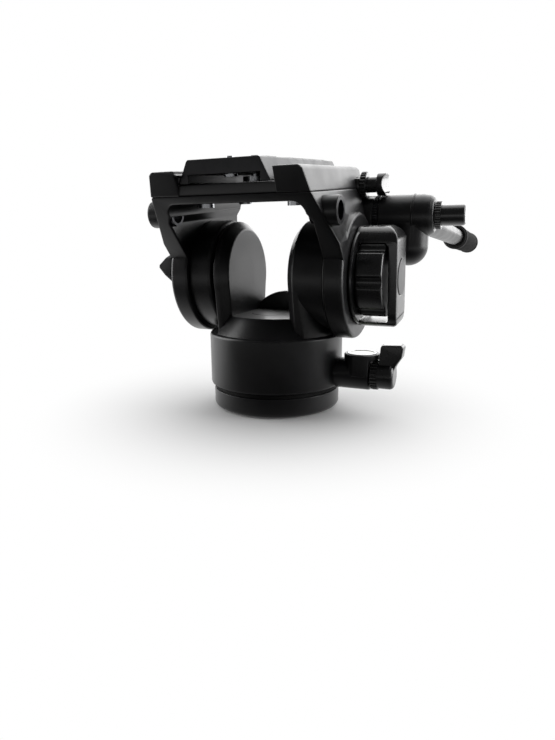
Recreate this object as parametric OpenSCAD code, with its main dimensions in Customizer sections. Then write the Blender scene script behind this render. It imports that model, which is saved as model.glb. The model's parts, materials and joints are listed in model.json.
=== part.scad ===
// Fluid video head: fixed base, panning fork, tilting cradle, sliding camera plate and pan bar.
// X is the tilt axis, Y points to the back and Z is up. The origin is the middle of the base's underside.

/* [Base] */
// Diameter of the fixed base ring
base_d = 76.5; // [73:0.5:78]
// Height of the fixed base ring
base_h = 11.2; // [10:0.2:14]
// Radius of the rounded lower edge of the base ring
base_edge = 3; // [0.5:0.5:3.5]
// Nominal diameter of the thread in the base and in the two accessory ports
thread_d = 9.525; // [8:0.125:10]
// Diameter of the pan spindle
spindle_d = 20; // [18:0.5:22]

/* [Pan housing] */
// Diameter of the panning housing
housing_d = 80; // [78:0.5:84]
// Height of the straight side of the panning housing
housing_h = 31.3; // [30:0.1:35]
// Height of the grease seal under the panning housing
seal_h = 2.5; // [1.8:0.1:3.2]
// Wall of the panning housing
housing_wall = 5.5; // [4.5:0.5:6.5]
// Length of the boss that holds the pan lock and the level
lock_boss_len = 19.5; // [18:0.5:23]
// Radius of the bubble level's cup
level_r = 8.4; // [7:0.2:9]

/* [Fork] */
// Width of the open space between the two fork posts
fork_gap = 35.8; // [32:0.2:38]
// Thickness of the fork posts
post_w = 7.5; // [6.5:0.5:8.5]
// Radius of the round top of the fork posts
post_r = 31; // [29:0.5:31.5]
// Height of the fork's floor above the housing
floor_h = 10.3; // [9.5:0.1:12]
// Height of the tilt axis above the housing
axis_h = 32.8; // [32.5:0.1:36]
// Diameter of the tilt stub axles
axle_d = 13; // [12:0.5:14]

/* [Cradle] */
// Forward tilt of the cradle as it stands
deck_tilt = 5; // [-15:1:15]
// Thickness of each arm
arm_w = 11; // [10:0.1:13]
// Radius of the round hubs on the arms
hub_r = 35; // [33:0.5:36]
// Height of the deck's underside above the tilt axis
deck_v = 47.1; // [46:0.1:50]
// Thickness of the bridge between the arms
bridge_t = 4; // [3.4:0.2:5]
// Reach of the deck in front of the tilt axis
deck_front = 61.4; // [59:0.2:66]
// Reach of the deck behind the tilt axis
deck_back = 36.5; // [35:0.5:42]
// Width of the deck across the top of its side rails
deck_w = 81.4; // [80:0.2:86]
// Height of the deck's side rails
rail_h = 12.2; // [11:0.2:14]
// Thickness of the deck's floor
deck_floor = 5.4; // [4.6:0.2:6]

/* [Camera plate] */
// Width of the camera plate across its foot
plate_w = 50; // [46:0.2:50.4]
// Thickness of the camera plate
plate_h = 11.3; // [10:0.1:13]
// Length of the camera plate
plate_len = 112; // [95:1:120]
// Nominal diameter of the camera screw
camera_screw_d = 6.35; // [5:0.05:6.35]

/* [Controls] */
// Radius of the tilt drag dial
dial_r = 22; // [18:0.5:22.5]
// Length of the tilt drag dial
dial_len = 14.4; // [11:0.2:15]
// Number of flutes round the tilt drag dial
dial_flutes = 7; // [5:1:10]
// Depth of the tilt lock handle from front to back
handle_depth = 24; // [20:0.2:26]
// Thickness of the tilt lock handle's outer bar
handle_bar = 5; // [4:0.25:6]

/* [Pan bar] */
// Diameter of the pan bar
bar_d = 15; // [13:0.5:16]
// Length of the pan bar
bar_len = 362; // [240:2:420]
// Length of the grip at the end of the pan bar
grip_len = 142; // [100:1:160]
// Drop of the pan bar below the level, in degrees
bar_drop = 3; // [-20:1:20]

/* [Hidden] */

$fn = 64;

// Radial play of a running shaft and of a fixed seat, then the gaps between faces that pass each other
run_fit = 0.03;
seat_fit = 0.03;
face_gap = 0.3;
pass_gap = 0.5;

// Heights of the stacked base and housing
housing_r = housing_d / 2;
housing_z = base_h + seal_h + face_gap;
housing_top = housing_z + housing_h;
floor_z = housing_top + floor_h;
axis_z = housing_top + axis_h;
housing_edge = 1.2;
cavity_r = housing_r - housing_wall;
web_t = 11;
web_z = housing_top - web_t;

// Thread insert and screws of the base
insert_r = thread_d / 2 + 3.7;
insert_flange = 2.2;
base_screw_r = 2;
base_screw_head_r = 3.6;
base_screw_head_h = 3.4;
base_screw_sink = 0.8;
base_screw_count = 4;
base_screw_circle = insert_r + insert_flange + base_screw_head_r + 0.8;
seal_in = min(cavity_r + 1.2, base_d / 2 - 3);

// Pan spindle, its bearings and its damper
spindle_r = spindle_d / 2;
spindle_flange_h = 3.5;
spindle_flange_r = base_screw_circle + base_screw_r + 3;
shoulder_r = spindle_r + 2;
washer_t = 1.6;
shoulder_z = web_z - face_gap - washer_t;
bush_wall = 3;
bush_r = spindle_r + run_fit + bush_wall;
bush_top = housing_top + 1;
stem_r = spindle_r - 3;
stem_z = bush_top + pass_gap;
nut_h = 5.6;
nut_r = stem_r + 5;
cover_t = 1.4;
nut_well_r = nut_r + 1;
cover_r = nut_well_r + 1.6;
cover_z = floor_z - cover_t;
cup_floor = 1.6;
cup_z = base_h + spindle_flange_h;
cup_r = cavity_r - 3;
cup_wall = 3.8;
rotor_flange = 2.4;
rotor_r = cup_r - cup_wall - pass_gap;
rotor_wall = 4;

// Pan lock on the right of the housing
lock_r = 9;
lock_z = housing_z + lock_r - 1;
lock_x = housing_r + lock_boss_len;
lock_screw_r = 3;
shoe_r = 4.8;
shoe_x = cup_r + 0.6;
shoe_len = 5;
knob_x = lock_x + face_gap;
knob_hub_r = 7.8;
knob_hub_len = 12;
wing_tip = 18.6;
wing_t = 8;
wing_x = knob_x + 5;
wing_end = wing_x + 0.72 * wing_tip;

// Bubble level in a round pod on top of the lock boss
pod_r = level_r + 1.8;
pod_x = lock_x + 4.5 - pod_r;
pod_t = 3.6;
pod_top = lock_z + lock_r + pod_t - 0.2;
level_h = 3;
level_floor = 0.8;
level_wall = 1.2;
vial_r = level_r - level_wall - seat_fit;
fluid_top = pod_top - 0.9;

// Fork posts and the fixed drum on the right
post_bevel = 4.5;
post_foot = post_r - post_bevel;
post_in = fork_gap / 2;
post_out = post_in + post_w;
arm_in = housing_r + pass_gap;
arm_out = arm_in + arm_w;
fork_end = arm_in - pass_gap;
fixed_drum_r = min(post_r, axis_h - 1);
blind_wall = 1.8;
saddle_r = 26;
saddle_z = floor_z - 0.56 * saddle_r;
saddle_y = [17, 28];

// Tilt axles, damper and counterbalance
axle_r = axle_d / 2;
axle_seat = post_in + blind_wall;
pocket_x = post_in + 6.2;
pocket_r = fixed_drum_r - 4.8;
tilt_bush_r = axle_r + run_fit + 3;
hub_wall = 2.4;
hub_bore_end = arm_out - hub_wall;
axle_end = hub_bore_end - pass_gap;
tilt_cup_wall = 3.8;
tilt_cup_floor = 1.8;
tilt_rotor_r = pocket_r - tilt_cup_wall - pass_gap;
tilt_rotor_wall = 6;
drum_r = axis_h - 0.9;
drum_wall = 3;
drum_gap = 1.6;
drum_in = post_out + drum_gap;
drum_floor = 2;
spring_wire = 2.4;
spring_pitch = 3;
spring_room = arm_in - drum_in - drum_floor - spring_wire - face_gap - pass_gap;
spring_turns = spring_room / spring_pitch;
spring_r = drum_r - drum_wall - spring_wire - 4;
arbor_r = spring_r - spring_wire / 2 - 3;
spring_sides = 6;
spring_rings = 24;
spring_steps = round(spring_turns * spring_rings);
spring_start = arm_in - spring_wire / 2 - face_gap;

// Cradle outline, in the frame that tilts: y to the back and z up from the tilt axis
lug_slope = 0.246;
deck_foot = deck_w / 2 + lug_slope * rail_h;
front_lean = 0.336;
bridge_front = deck_front - front_lean * rail_h;
arm_meet = 23;
arm_front = [-hub_r * cos(arm_meet), hub_r * sin(arm_meet)];
arm_back = [hub_r * cos(arm_meet), hub_r * sin(arm_meet)];
arm_sink = 0.15;
splay_v = 22;
splay_in = drum_r + 1.2;
arm_top_in = deck_foot - arm_w + 5.3;
arch = 6;
hub_chamfer = 1.4;
boss_r = 9;
boss_end = arm_out + 2.2;
lever_boss_r = 7;
lever_boss_end = arm_out + 4.6;

// Accessory ports near the front of each arm
port_r = thread_d / 2 + 2.5;
port_insert_r = thread_d / 2 + 1.4;
port_y = -41;
port_z = deck_v - 9.1;
port_end = arm_out + 1.5;
port_in = arm_top_in + 0.5;

// Deck, its screws and the plate clamp
plate_x = -1.1;
plate_taper = 0.46;
plate_foot = deck_v + deck_floor + face_gap;
rail_in = plate_w / 2 + 1.4;
lip = 3.9;
jaw_y = [-22, 13];
jaw_travel = 2;
deck_bevel = 1.5;
band_set = 0.4;
deck_screw_r = 2.5;
deck_screw_head_r = 4.2;
deck_screw_head_h = 2.6;
deck_screw_x = 26;
deck_screw_y = [-31, 18];
clamp_pivot_y = 28.8;
clamp_pivot_v = deck_v + 1.6;
clamp_pivot_r = 4.4;
clamp_boss_r = 7.4;
clamp_boss_x = arm_top_in - 8;
collar_r = 6.9;
collar_x = deck_foot + 1.2;
collar_len = 3.6;
lever_stem = 6;
lever_x = collar_x + collar_len + lever_stem;
lever_t = 5;
lever_r = 6.4;
lever_len = 6;
button_r = 3;
button_y = 14;
button_v = deck_v + 6.6;
button_in = deck_w / 2 - 6;
button_len = 9.6;

// Camera plate and its screw and pin
plate_front = -57;
channel_w = 39;
channel_h = 4.2;
plate_top = plate_foot + plate_h;
plate_top_w = plate_w - 2 * plate_taper * plate_h;
pad_t = 1.4;
pad_proud = 0.5;
pad_margin = 3.5;
camera_y = -19;
camera_head_r = 7;
camera_head_h = 2.8;
camera_neck_r = 2.7;
camera_tip = 2.2;
pin_r = 2;
pin_y = -48;
pin_proud = 1.1;

// Tilt lock handle round the drag dial
flange_x = arm_out + pass_gap;
flange_t = 1.8;
flange_r = 26.8;
dial_x = flange_x + flange_t + face_gap;
bar_in = dial_x + dial_len + 1.2;
handle_end = bar_in + handle_bar;
window_r = dial_r + pass_gap;
handle_top = window_r + 5.2;
window_bottom = window_r + 1.4;
handle_bottom = window_bottom + 3.4;
handle_round = 8;
handle_foot_round = 4;
window_round = 2;
handle_side_round = 9;
cap_r = 9.8;
cap_t = 0.9;
dial_shaft_r = 4.5;
flute_r = 3.6;
flute_depth = 2;

// Counterbalance lever on the left
balance_x = arm_out + pass_gap;
balance_t = lever_boss_end - balance_x - 0.2;
balance_r = 15;
balance_turn = 15;
balance_reach = 33;
balance_half = 9;
balance_tip = lever_boss_end + 4;
balance_screw_r = 2.5;
balance_head_r = lever_boss_r + 2;

// Pan bar clamp on a rosette at the back of the right arm
rosette_y = 33.9;
rosette_v = 30.4;
rosette_r = 12;
rosette_x = arm_out + 1;
rosette_t = 3;
clamp_x = rosette_x + rosette_t + face_gap;
clamp_len = 31;
clamp_end = clamp_x + clamp_len;
clamp_rib = clamp_x + 0.6 * clamp_len;
clamp_screw_r = 3;
bar_r = bar_d / 2;
bar_wall = 1.2;
socket_r = bar_r + 2.8;
bar_x = clamp_end - socket_r - 4;
socket_start = 9;
socket_len = 32;
lobe_r = 11;
lobe_drop = 17.5;
grip_knob_x = clamp_end + face_gap;
grip_collar_r = 7.4;
grip_collar_len = 3.4;
grip_knob_r = 5.9;
grip_knob_len = 13.2;
bar_end = socket_start + bar_len;
grip_start = bar_end + 8 - grip_len;
grip_r = bar_r + 4;
grip_cap_len = 4;

// Solid rods between two places on an axis, and rings of the same kind
module x_rod(r, x0, x1) {
    translate([x0, 0, 0]) rotate([0, 90, 0]) cylinder(h = x1 - x0, r = r);
}
module x_cone(r0, r1, x0, x1) {
    translate([x0, 0, 0]) rotate([0, 90, 0]) cylinder(h = x1 - x0, r1 = r0, r2 = r1);
}
module x_ring(r_out, r_in, x0, x1) {
    difference() {
        x_rod(r_out, x0, x1);
        x_rod(r_in, x0 - 1, x1 + 1);
    }
}
module y_rod(r, y0, y1) {
    translate([0, y0, 0]) rotate([-90, 0, 0]) cylinder(h = y1 - y0, r = r);
}
module z_rod(r, z0, z1) {
    translate([0, 0, z0]) cylinder(h = z1 - z0, r = r);
}
module z_ring(r_out, r_in, z0, z1) {
    difference() {
        z_rod(r_out, z0, z1);
        z_rod(r_in, z0 - 1, z1 + 1);
    }
}
// A box between two opposite corners
module box(a, b) {
    translate(a) cube(b - a);
}
// An outline drawn as (y, z), made solid between two places on X
module side_solid(x0, x1) {
    translate([x0, 0, 0]) rotate([90, 0, 90]) linear_extrude(x1 - x0) children();
}
// An outline drawn as (x, z), made solid between two places on Y
module front_solid(y0, y1) {
    translate([0, y1, 0]) rotate([90, 0, 0]) linear_extrude(y1 - y0) children();
}
// A rectangle with round corners between two opposite corners
module round_rect(a, b, r) {
    translate([a[0] + r, a[1]]) square([b[0] - a[0] - 2 * r, b[1] - a[1]]);
    translate([a[0], a[1] + r]) square([b[0] - a[0], b[1] - a[1] - 2 * r]);
    for (x = [a[0] + r, b[0] - r])
        for (y = [a[1] + r, b[1] - r])
            translate([x, y]) circle(r);
}
// Frames of the moving groups
module at_axis() {
    translate([0, 0, axis_z]) children();
}
module tilted() {
    at_axis() rotate([deck_tilt, 0, 0]) children();
}
module on_left() {
    tilted() mirror([1, 0, 0]) children();
}
module at_lock() {
    translate([0, 0, lock_z]) children();
}
module at_level() {
    translate([pod_x, 0, 0]) children();
}
module at_clamp_pivot() {
    tilted() translate([0, clamp_pivot_y, clamp_pivot_v]) children();
}
module at_rosette() {
    tilted() translate([0, rosette_y, rosette_v]) children();
}
module along_bar() {
    at_rosette() rotate([-deck_tilt - bar_drop, 0, 0]) children();
}
module on_bar() {
    along_bar() translate([bar_x, 0, 0]) children();
}
module on_plate() {
    tilted() translate([plate_x, 0, 0]) children();
}
module base_screw_places() {
    for (i = [0 : base_screw_count - 1])
        rotate(45 + i * 360 / base_screw_count) translate([base_screw_circle, 0, 0]) children();
}
module deck_screw_places() {
    for (x = [-deck_screw_x, deck_screw_x])
        for (y = deck_screw_y)
            translate([x, y, 0]) children();
}
module port_places() {
    for (side = [0, 1])
        mirror([side, 0, 0]) translate([0, port_y, port_z]) children();
}

// Fixed base

module base_plate() {
    color("#1c1c1e") difference() {
        union() {
            z_rod(base_d / 2 - base_edge, 0, base_h);
            z_rod(base_d / 2, base_edge, base_h);
            rotate_extrude() translate([base_d / 2 - base_edge, base_edge]) circle(base_edge);
        }
        z_rod(insert_r + seat_fit, -1, base_h + 1);
        z_rod(insert_r + insert_flange + seat_fit, base_h - insert_flange, base_h + 1);
        base_screw_places() {
            z_rod(base_screw_r + seat_fit, -1, base_h + 1);
            z_rod(base_screw_head_r + seat_fit, -1, base_screw_sink + base_screw_head_h);
        }
    }
}

module thread_insert() {
    color("#b9b4a6") difference() {
        union() {
            z_rod(insert_r, 0, base_h);
            z_rod(insert_r + insert_flange, base_h - insert_flange, base_h);
        }
        z_rod(thread_d / 2, -1, base_h + 1);
    }
}

module base_screws() {
    color("#8d8f94") base_screw_places() difference() {
        union() {
            z_rod(base_screw_head_r, base_screw_sink, base_screw_sink + base_screw_head_h);
            z_rod(base_screw_r, base_screw_sink, base_h + spindle_flange_h - pass_gap);
        }
        translate([0, 0, base_screw_sink - 1]) cylinder(h = 3, r = base_screw_r * 0.9, $fn = 6);
    }
}

module pan_spindle() {
    color("#a9abb0") difference() {
        union() {
            z_rod(spindle_flange_r, base_h, base_h + spindle_flange_h);
            z_rod(shoulder_r, base_h, shoulder_z);
            z_rod(spindle_r, base_h, stem_z);
            z_rod(stem_r, base_h, stem_z + nut_h + 0.6);
        }
        z_rod(thread_d / 2 + 0.6, base_h - 1, base_h + thread_d);
        base_screw_places() z_rod(base_screw_r + seat_fit, base_h - 1, base_h + spindle_flange_h + 1);
    }
}

module spindle_nut() {
    color("#8d8f94") difference() {
        translate([0, 0, stem_z]) cylinder(h = nut_h, r = nut_r, $fn = 6);
        z_rod(stem_r + seat_fit, stem_z - 1, stem_z + nut_h + 1);
    }
}

module thrust_washer() {
    color("#d8d4c8") z_ring(shoulder_r + 1.4, spindle_r + seat_fit, shoulder_z, shoulder_z + washer_t);
}

module pan_damper_cup() {
    color("#6e7074") union() {
        z_ring(cup_r, shoulder_r + seat_fit, cup_z, cup_z + cup_floor);
        z_ring(cup_r, cup_r - cup_wall, cup_z, web_z - rotor_flange - pass_gap);
    }
}

module pan_seal() {
    color("#0e0e0f") z_ring(base_d / 2 - 0.6, seal_in, base_h, base_h + seal_h);
}

// Panning fork

module post(side) {
    step = post_in + post_bevel;
    lean = atan((post_r - post_foot) / (axis_h + 1));
    mirror([side < 0 ? 1 : 0, 0, 0]) {
        at_axis() x_cone(post_foot, post_r, post_in, step);
        at_axis() x_rod(post_r, step, post_out);
        difference() {
            side_solid(post_in, post_out) post_side();
            for (end = [0, 1])
                mirror([0, end, 0]) translate([post_in, post_bevel - post_foot, housing_top - 1])
                    rotate([lean, 0, 0]) rotate([0, 0, -45])
                        box([-post_r, -post_r, -axis_h], [post_r, 0, 2 * axis_h]);
        }
    }
}

module post_side() {
    z0 = housing_top - 1;
    lean = (post_r - post_foot) / (axis_z - z0);
    top = post_r - 2 * lean;
    polygon([[-post_foot, z0], [post_foot, z0], [top, axis_z - 2], [-top, axis_z - 2]]);
}

module housing_shell() {
    rotate_extrude() polygon([[0, housing_z], [housing_r - 0.8, housing_z], [housing_r, housing_z + 0.8],
        [housing_r, housing_top - housing_edge], [housing_r - housing_edge, housing_top], [0, housing_top]]);
}

module fork_floor() {
    intersection() {
        translate([0, 0, housing_top - 1])
            cylinder(h = floor_h + 1, r1 = housing_r - housing_edge + 0.2, r2 = post_r - 0.5);
        box([-post_out, -housing_r, housing_top - 2], [housing_r, housing_r, floor_z + 1]);
    }
    intersection() {
        translate([0, 0, saddle_z]) y_rod(saddle_r, saddle_y[0], saddle_y[1]);
        box([-post_in - 1, 0, housing_top - 1], [post_in + 1, housing_r, axis_z]);
    }
}

module fixed_drum() {
    at_axis() x_rod(fixed_drum_r, post_out - 1, fork_end - 1);
    at_axis() x_cone(fixed_drum_r, fixed_drum_r - 1, fork_end - 1, fork_end);
    intersection() {
        side_solid(post_out - 1, fork_end) post_side();
        z_rod(housing_r - housing_edge - 0.2, housing_top - 2, axis_z + 1);
    }
}

module lock_boss() {
    at_lock() x_rod(lock_r, cavity_r + 1.5, lock_x);
    at_level() z_rod(pod_r, pod_top - pod_t, pod_top);
    intersection() {
        at_level() z_rod(pod_r, lock_z, pod_top);
        box([cavity_r, -pod_r, lock_z], [lock_x, pod_r, pod_top]);
    }
}

module pan_fork() {
    color("#202022") difference() {
        union() {
            housing_shell();
            fork_floor();
            post(1);
            post(-1);
            fixed_drum();
            lock_boss();
        }
        z_rod(cavity_r, housing_z - 1, web_z);
        z_rod(base_d / 2 + face_gap, 0, housing_z);
        z_rod(bush_r + seat_fit, web_z - 1, floor_z + 1);
        z_rod(nut_well_r, bush_top, floor_z + 1);
        z_rod(cover_r + seat_fit, cover_z, floor_z + 1);
        at_axis() {
            x_rod(axle_r + seat_fit, -post_out - 1, -axle_seat);
            x_rod(axle_r + seat_fit, axle_seat, pocket_x + 1);
            x_rod(pocket_r, pocket_x, fork_end + 1);
        }
        at_lock() {
            x_rod(lock_screw_r + run_fit, cavity_r - 1, lock_x + 1);
            x_rod(shoe_r + run_fit * 2, cavity_r - 1, shoe_x + shoe_len + pass_gap);
        }
        at_level() z_rod(level_r + seat_fit, pod_top - level_h, pod_top + 1);
    }
}

module pan_bushing() {
    color("#a8793c") z_ring(bush_r, spindle_r + run_fit, web_z, bush_top);
}

module pan_damper_rotor() {
    color("#77797d") union() {
        z_ring(rotor_r, rotor_r - rotor_wall, cup_z + cup_floor + 1.4, web_z - rotor_flange);
        z_ring(cavity_r - seat_fit, rotor_r - rotor_wall, web_z - rotor_flange, web_z);
    }
}

module spindle_cover() {
    color("#1c1c1e") z_rod(cover_r, cover_z, floor_z);
}

module level_cup() {
    color("#c9cacc") at_level() difference() {
        z_rod(level_r, pod_top - level_h, pod_top + 0.3);
        z_rod(level_r - level_wall, pod_top - level_h + level_floor, pod_top + 1);
    }
}

module level_fluid() {
    color("#9fc36a") at_level() z_rod(vial_r - 1, pod_top - level_h + level_floor, fluid_top);
}

module level_vial() {
    color("#e8eef0") at_level() difference() {
        z_rod(vial_r, pod_top - level_h + level_floor, pod_top);
        z_rod(vial_r - 1 + seat_fit, pod_top - level_h, fluid_top + seat_fit);
    }
}

module pan_lock_screw() {
    color("#8d8f94") at_lock() x_rod(lock_screw_r, shoe_x + shoe_len + 0.1, knob_x + knob_hub_len - 2);
}

module pan_lock_knob() {
    color("#1a1a1c") at_lock() difference() {
        union() {
            x_rod(knob_hub_r, knob_x, knob_x + knob_hub_len);
            x_cone(knob_hub_r, knob_hub_r - 1.4, knob_x + knob_hub_len, knob_x + knob_hub_len + 1.4);
            front_solid(-wing_t / 2, wing_t / 2) polygon([[wing_x - 1, 0], [wing_x + 0.4, wing_tip - 1.4],
                [wing_x + 1.4, wing_tip - 0.4], [wing_end - 1.4, wing_tip], [wing_end, wing_tip - 1.4],
                [wing_end - 0.8, 0.62 * wing_tip], [wing_end - 4, 0.35 * wing_tip], [knob_x + knob_hub_len, 0]]);
        }
        x_rod(lock_screw_r + seat_fit, knob_x - 1, knob_x + knob_hub_len - 2 + seat_fit);
    }
}

module pan_brake_shoe() {
    color("#b08d57") at_lock() x_rod(shoe_r, shoe_x, shoe_x + shoe_len);
}

// Stub axles, tilt damper and counterbalance

module left_stub_axle() {
    color("#a9abb0") at_axis() x_rod(axle_r, -axle_end, -axle_seat);
}

module right_stub_axle() {
    color("#a9abb0") at_axis() x_rod(axle_r, axle_seat, axle_end);
}

module tilt_damper_cup() {
    color("#6e7074") at_axis() union() {
        x_ring(pocket_r - seat_fit, pocket_r - tilt_cup_wall, pocket_x, fork_end - 1.4);
        x_ring(pocket_r - seat_fit, axle_r + seat_fit, pocket_x, pocket_x + tilt_cup_floor);
    }
}

module tilt_damper_rotor() {
    color("#77797d") at_axis() x_ring(tilt_rotor_r, tilt_rotor_r - tilt_rotor_wall,
        pocket_x + tilt_cup_floor + 1, arm_in);
}

module spring_arbor() {
    color("#8d8f94") at_axis()
        x_ring(arbor_r, axle_r + seat_fit, -arm_in + pass_gap, -drum_in - drum_floor - pass_gap);
}

module counterbalance_drum() {
    color("#232325") on_left() difference() {
        union() {
            x_cone(drum_r - 1.2, drum_r, drum_in, drum_in + 1.2);
            x_rod(drum_r, drum_in + 1.2, arm_in);
        }
        x_rod(drum_r - drum_wall, drum_in + drum_floor, arm_in + 1);
        x_rod(axle_r + face_gap, drum_in - 1, arm_in + 1);
    }
}

// The torsion spring is one six-sided wire along a helix round the tilt axis
function spring_ring(i) =
    let (a = 360 * i / spring_rings, x = spring_start - spring_pitch * i / spring_rings)
    [for (k = [0 : spring_sides - 1])
        let (b = 360 * k / spring_sides, r = spring_r + spring_wire / 2 * cos(b))
        [x + spring_wire / 2 * sin(b), r * cos(a), r * sin(a)]];
function spring_points() = [for (i = [0 : spring_steps]) each spring_ring(i)];
function spring_faces() =
    let (n = spring_sides, last = spring_steps * spring_sides)
    concat(
        [for (k = [1 : n - 2]) [0, k, k + 1]],
        [for (k = [1 : n - 2]) [last, last + k + 1, last + k]],
        [for (i = [0 : spring_steps - 1]) for (k = [0 : n - 1])
            let (a = i * n + k, b = i * n + (k + 1) % n) [a, a + n, b]],
        [for (i = [0 : spring_steps - 1]) for (k = [0 : n - 1])
            let (a = i * n + k, b = i * n + (k + 1) % n) [b, a + n, b + n]]);

module counterbalance_spring() {
    color("#9a9ca1") on_left() polyhedron(spring_points(), spring_faces());
}

// Tilting cradle

module cradle_side() {
    front = [-bridge_front, deck_v];
    back = [deck_back, deck_v];
    polygon([front, arm_front + arm_sink * (arm_front - front), [0, 0],
        arm_back + arm_sink * (arm_back - back), back]);
}

module cradle_front() {
    under = deck_v - bridge_t;
    difference() {
        polygon([[-deck_foot, deck_v], [deck_foot, deck_v], [arm_out, splay_v], [arm_out, 0],
            [-arm_out, 0], [-arm_out, splay_v]]);
        polygon([[-arm_in, -1], [arm_in, -1], [arm_in, splay_in], [arm_top_in, under - arch],
            [-arm_top_in, under - arch], [-arm_in, splay_in]]);
        translate([-arm_top_in + arch, 0]) square([2 * (arm_top_in - arch), under]);
        for (side = [-1, 1])
            translate([side * (arm_top_in - arch), under - arch]) circle(arch);
    }
}

module hub_disc() {
    x_cone(hub_r - 0.6, hub_r, arm_in, arm_in + 0.6);
    x_rod(hub_r, arm_in + 0.6, arm_out - hub_chamfer);
    x_cone(hub_r, hub_r - hub_chamfer, arm_out - hub_chamfer, arm_out);
}

module cradle() {
    color("#1e1e20") tilted() difference() {
        union() {
            intersection() {
                side_solid(-arm_out, arm_out) cradle_side();
                front_solid(-deck_front, deck_front) cradle_front();
            }
            hub_disc();
            mirror([1, 0, 0]) hub_disc();
            x_rod(boss_r, arm_out - 1, boss_end);
            x_rod(lever_boss_r, -lever_boss_end, -arm_out + 1);
            port_places() x_rod(port_r, deck_foot - 3, port_end);
            translate([0, rosette_y, rosette_v]) x_rod(rosette_r, arm_in + 1, rosette_x);
        }
        x_rod(tilt_bush_r + seat_fit, arm_in - 1, hub_bore_end);
        x_rod(tilt_bush_r + seat_fit, -hub_bore_end, -arm_in + 1);
        x_rod(dial_shaft_r + run_fit, arm_in, boss_end + 1);
        x_rod(balance_screw_r + seat_fit, -lever_boss_end - 1, -arm_out);
        port_places() x_rod(port_insert_r + seat_fit, port_in, port_end + 1);
        translate([0, rosette_y, rosette_v]) x_rod(clamp_screw_r + seat_fit, arm_top_in, rosette_x + 1);
        translate([0, clamp_pivot_y, clamp_pivot_v]) x_rod(clamp_boss_r + seat_fit, clamp_boss_x - seat_fit, arm_out + 1);
        deck_screw_places() z_rod(deck_screw_r + seat_fit, 0, deck_v + 1);
    }
}

module tilt_bushings() {
    color("#a8793c") at_axis() {
        x_ring(tilt_bush_r, axle_r + run_fit, arm_in, hub_bore_end);
        x_ring(tilt_bush_r, axle_r + run_fit, -hub_bore_end, -arm_in);
    }
}

module accessory_inserts() {
    color("#b9bbc0") tilted() port_places() x_ring(port_insert_r, thread_d / 2, port_in, port_end);
}

// Deck with its rails, and the plate clamp

module deck_section() {
    top = deck_v + rail_h;
    floor = deck_v + deck_floor;
    half = deck_w / 2;
    side = half + lug_slope * deck_bevel;
    left = plate_x - plate_w / 2 - face_gap;
    polygon([[-deck_foot, deck_v], [deck_foot, deck_v], [side, top - deck_bevel], [half - deck_bevel, top],
        [rail_in, top], [rail_in, floor], [left, floor], [left, floor + face_gap],
        [left + plate_taper * lip, floor + face_gap + lip], [-rail_in, floor + face_gap + lip + 1.4],
        [-rail_in, top], [-half + deck_bevel, top], [-side, top - deck_bevel]]);
}

module deck() {
    floor = deck_v + deck_floor;
    top = deck_v + rail_h;
    color("#212123") tilted() difference() {
        union() {
            intersection() {
                front_solid(-deck_front, deck_back) deck_section();
                side_solid(-arm_out, arm_out) polygon([[-bridge_front, deck_v], [deck_back, deck_v],
                    [deck_back, top - deck_bevel], [deck_back - deck_bevel, top], [-deck_front, top]]);
            }
            intersection() {
                translate([0, clamp_pivot_y, clamp_pivot_v]) x_rod(clamp_boss_r, 0, collar_x);
                box([clamp_boss_x, -deck_front, 0], [arm_out, deck_front, floor]);
            }
        }
        box([-rail_in, -deck_front - 1, deck_v - 1], [rail_in, -bridge_front + band_set, floor + lip]);
        box([0, jaw_y[0] - face_gap, floor], [rail_in + jaw_travel + face_gap, jaw_y[1] + face_gap,
            floor + lip + 2 * face_gap]);
        translate([0, clamp_pivot_y, clamp_pivot_v]) x_rod(clamp_pivot_r + run_fit, arm_top_in - 5, arm_out);
        translate([0, button_y, button_v]) x_rod(button_r + run_fit, -arm_out, -button_in + 3);
        deck_screw_places() z_rod(deck_screw_r + seat_fit, 0, floor - 0.8);
    }
}

module deck_screws() {
    under = deck_v - bridge_t;
    color("#8d8f94") tilted() deck_screw_places() difference() {
        union() {
            z_rod(deck_screw_head_r, under - deck_screw_head_h, under);
            z_rod(deck_screw_r, under - 1, deck_v + deck_floor - 1.2);
        }
        translate([0, 0, under - deck_screw_head_h - 1]) cylinder(h = 2.8, r = deck_screw_r * 0.9, $fn = 6);
    }
}

module clamp_collar() {
    color("#2a2a2c") at_clamp_pivot()
        x_ring(collar_r, clamp_pivot_r + run_fit, collar_x, collar_x + collar_len);
}

module clamp_lever() {
    color("#1a1a1c") at_clamp_pivot() difference() {
        union() {
            x_rod(clamp_pivot_r, arm_top_in - 4.6, lever_x + 1);
            x_rod(lever_r, lever_x, lever_x + lever_t);
            side_solid(lever_x, lever_x + lever_t) {
                translate([0, -lever_r + 1]) square([lever_len, 2 * lever_r - 2]);
                translate([lever_len, 0]) circle(lever_r - 1);
            }
        }
        translate([lever_x + lever_t + 7, 0, 0.6]) y_rod(8.6, -lever_r - 1, lever_len + lever_r);
    }
}

module clamp_jaw() {
    foot = plate_x + plate_w / 2 + face_gap;
    top = plate_foot + lip;
    color("#3a3a3d") tilted() front_solid(jaw_y[0], jaw_y[1])
        polygon([[foot, plate_foot], [rail_in, plate_foot], [rail_in, top], [foot - plate_taper * lip, top]]);
}

module release_button() {
    color("#c4c6ca") on_left() translate([0, button_y, button_v]) {
        x_rod(button_r, button_in, button_in + button_len - 0.8);
        x_cone(button_r, button_r - 0.8, button_in + button_len - 0.8, button_in + button_len);
    }
}

// Camera plate

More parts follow.
